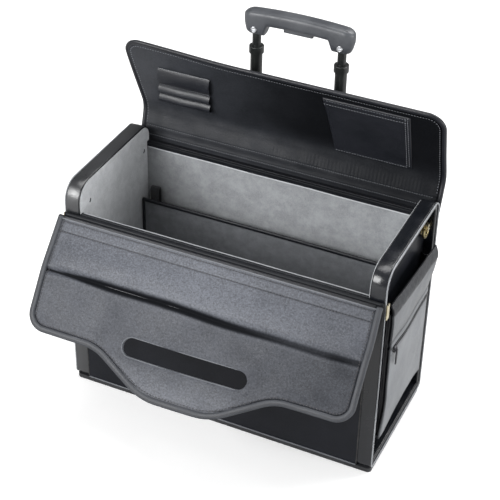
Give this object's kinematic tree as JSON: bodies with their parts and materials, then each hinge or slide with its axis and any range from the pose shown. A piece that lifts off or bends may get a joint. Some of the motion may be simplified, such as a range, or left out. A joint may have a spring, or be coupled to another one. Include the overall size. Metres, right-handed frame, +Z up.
{
  "type": "rolling laptop case",
  "caption": "Wheeled hard-sided laptop and catalogue case, open, with a folding front flap, a rear organiser flap, end pockets and a telescopic pull handle.",
  "frame": {"origin": "on the floor under the middle of the box's footprint, on the plane the skid frame stands on", "axes": "+X to the user's right facing the front wall, +Y towards the wheels and the pull handle, +Z up"},
  "size_m": [0.4794, 0.387, 0.517],
  "materials": {
    "black_leather": "smooth black leather-look covering, satin",
    "flap_lining": "blue-grey leather-look lining with a fine grain",
    "grey_felt": "light grey felt",
    "dark_fabric": "dark woven fabric",
    "pocket_fabric": "grained grey-black covering of the end pockets",
    "black_plastic": "moulded black plastic",
    "grip_plastic": "dark grey moulded grip",
    "black_tube": "black powder-coated steel tube",
    "brass_fitting": "polished brass",
    "lock_metal": "plated zinc",
    "dial_metal": "brass number wheel",
    "steel_pin": "bright steel",
    "tyre_rubber": "black rubber tyre",
    "piping_vinyl": "glossy black vinyl piping"
  },
  "bodies": {
    "case": {"base_board": "black_plastic", "front_wall": "black_leather", "rear_wall": "black_leather", "end_boards": "black_leather", "end_rims": "black_leather", "rim_pipings": "piping_vinyl", "end_linings": "grey_felt", "wall_linings": "grey_felt", "front_top_rail": "black_plastic", "rear_top_rail": "black_plastic", "base_skid_frame": "black_plastic", "divider_pocket": "dark_fabric", "retaining_strap": "dark_fabric", "left_pocket_panel": "pocket_fabric", "right_pocket_panel": "pocket_fabric", "pocket_gussets": "dark_fabric", "pocket_zip_tapes": "dark_fabric", "end_fitting_plates": "brass_fitting", "trolley_outer_tubes": "black_tube", "trolley_top_bracket": "black_plastic", "trolley_base_frame": "black_plastic", "wheel_axles": "steel_pin"},
    "front_flap_root": {"front_flap_hinge_strip": "flap_lining", "front_flap_fold": "flap_lining"},
    "front_flap": {"front_flap_panel": "flap_lining", "front_flap_binding": "black_leather", "lock_backing_plates": "flap_lining", "lock_hasp_plates": "lock_metal"},
    "rear_flap_root": {"rear_flap_hinge_strip": "black_leather", "rear_flap_fold": "black_leather"},
    "rear_flap": {"rear_flap_panel": "black_leather", "rear_flap_binding": "black_leather", "pen_loops": "black_leather", "card_pocket": "black_leather", "carry_handle_grip": "black_leather", "carry_handle_ends": "lock_metal", "left_lock_body": "lock_metal", "right_lock_body": "lock_metal"},
    "handle_stage_one": {"stage_one_tubes": "black_tube"},
    "handle_stage_two": {"stage_two_tubes": "black_tube"},
    "handle_stage_three": {"stage_three_tubes": "black_tube", "trolley_grip": "grip_plastic", "grip_screws": "steel_pin"},
    "handle_button": {"release_button": "grip_plastic"},
    "left_wheel": {"left_wheel_hub": "black_plastic", "left_tyre": "tyre_rubber"},
    "right_wheel": {"right_wheel_hub": "black_plastic", "right_tyre": "tyre_rubber"},
    "left_zip": {"left_zip_slider": "steel_pin"},
    "right_zip": {"right_zip_slider": "steel_pin"},
    "left_ring": {"left_d_ring": "brass_fitting"},
    "right_ring": {"right_d_ring": "brass_fitting"},
    "left_bolt": {"left_lock_bolt": "lock_metal"},
    "right_bolt": {"right_lock_bolt": "lock_metal"},
    "left_lock_inner_dial_wheel": {"left_lock_inner_dial": "dial_metal"},
    "left_lock_middle_dial_wheel": {"left_lock_middle_dial": "dial_metal"},
    "left_lock_outer_dial_wheel": {"left_lock_outer_dial": "dial_metal"},
    "right_lock_inner_dial_wheel": {"right_lock_inner_dial": "dial_metal"},
    "right_lock_middle_dial_wheel": {"right_lock_middle_dial": "dial_metal"},
    "right_lock_outer_dial_wheel": {"right_lock_outer_dial": "dial_metal"}
  },
  "joints": [
    {"name": "front_flap_hinge", "type": "hinge", "parent": "case", "child": "front_flap_root", "pos_m": [0, -0.1, 0.286], "axis": [-1, 0, 0], "range_deg": [0, 136]},
    {"name": "front_flap_crease", "type": "hinge", "parent": "front_flap_root", "child": "front_flap", "pos_m": [0, -0.14075, 0.25432], "axis": [-1, 0, 0], "range_deg": [0, 98.01], "deforming": ["front_flap_fold"]},
    {"name": "rear_flap_hinge", "type": "hinge", "parent": "case", "child": "rear_flap_root", "pos_m": [0, 0.1, 0.298], "axis": [1, 0, 0], "range_deg": [0, 20.8]},
    {"name": "rear_flap_crease", "type": "hinge", "parent": "rear_flap_root", "child": "rear_flap", "pos_m": [0, 0.10825, 0.31263], "axis": [1, 0, 0], "range_deg": [0, 51.61], "deforming": ["rear_flap_fold"]},
    {"name": "handle_stage_one_slide", "type": "slide", "parent": "case", "child": "handle_stage_one", "axis": [0, 0, 1], "range_m": [0, 0.18]},
    {"name": "handle_stage_two_slide", "type": "slide", "parent": "handle_stage_one", "child": "handle_stage_two", "axis": [0, 0, 1], "range_m": [-0.1535, 0.015]},
    {"name": "handle_stage_three_slide", "type": "slide", "parent": "handle_stage_two", "child": "handle_stage_three", "axis": [0, 0, 1], "range_m": [-0.016, 0.16]},
    {"name": "release_button_push", "type": "slide", "parent": "handle_stage_three", "child": "handle_button", "axis": [0, 0, 1], "range_m": [0, 0.004]},
    {"name": "left_wheel_spin", "type": "hinge", "parent": "case", "child": "left_wheel", "pos_m": [-0.175, 0.1265, 0.026], "axis": [1, 0, 0], "continuous": true},
    {"name": "left_zip_slide", "type": "slide", "parent": "case", "child": "left_zip", "axis": [0, 1, 0], "range_m": [0, 0.125]},
    {"name": "left_ring_swing", "type": "hinge", "parent": "case", "child": "left_ring", "pos_m": [-0.2178, 0.076, 0.292], "axis": [0, 1, 0], "range_deg": [0, 140]},
    {"name": "left_lock_bolt_slide", "type": "slide", "parent": "rear_flap", "child": "left_bolt", "axis": [0, -0.3024, 0.9532], "range_m": [0, 0.008]},
    {"name": "right_wheel_spin", "type": "hinge", "parent": "case", "child": "right_wheel", "pos_m": [0.175, 0.1265, 0.026], "axis": [1, 0, 0], "continuous": true},
    {"name": "right_zip_slide", "type": "slide", "parent": "case", "child": "right_zip", "axis": [0, 1, 0], "range_m": [0, 0.125]},
    {"name": "right_ring_swing", "type": "hinge", "parent": "case", "child": "right_ring", "pos_m": [0.2178, 0.076, 0.292], "axis": [0, -1, 0], "range_deg": [0, 140]},
    {"name": "right_lock_bolt_slide", "type": "slide", "parent": "rear_flap", "child": "right_bolt", "axis": [0, -0.3024, 0.9532], "range_m": [0, 0.008]},
    {"name": "left_lock_inner_dial_turn", "type": "hinge", "parent": "rear_flap", "child": "left_lock_inner_dial_wheel", "pos_m": [-0.131, 0.11562, 0.38528], "axis": [1, 0, 0], "continuous": true},
    {"name": "left_lock_middle_dial_turn", "type": "hinge", "parent": "rear_flap", "child": "left_lock_middle_dial_wheel", "pos_m": [-0.137, 0.11562, 0.38528], "axis": [1, 0, 0], "continuous": true},
    {"name": "left_lock_outer_dial_turn", "type": "hinge", "parent": "rear_flap", "child": "left_lock_outer_dial_wheel", "pos_m": [-0.143, 0.11562, 0.38528], "axis": [1, 0, 0], "continuous": true},
    {"name": "right_lock_inner_dial_turn", "type": "hinge", "parent": "rear_flap", "child": "right_lock_inner_dial_wheel", "pos_m": [0.131, 0.11562, 0.38528], "axis": [1, 0, 0], "continuous": true},
    {"name": "right_lock_middle_dial_turn", "type": "hinge", "parent": "rear_flap", "child": "right_lock_middle_dial_wheel", "pos_m": [0.137, 0.11562, 0.38528], "axis": [1, 0, 0], "continuous": true},
    {"name": "right_lock_outer_dial_turn", "type": "hinge", "parent": "rear_flap", "child": "right_lock_outer_dial_wheel", "pos_m": [0.143, 0.11562, 0.38528], "axis": [1, 0, 0], "continuous": true}
  ],
  "couplings": [
    {"joint": "front_flap_crease", "follows": "front_flap_hinge", "ratio": 0.72059},
    {"joint": "rear_flap_crease", "follows": "rear_flap_hinge", "ratio": 2.4808}
  ]
}
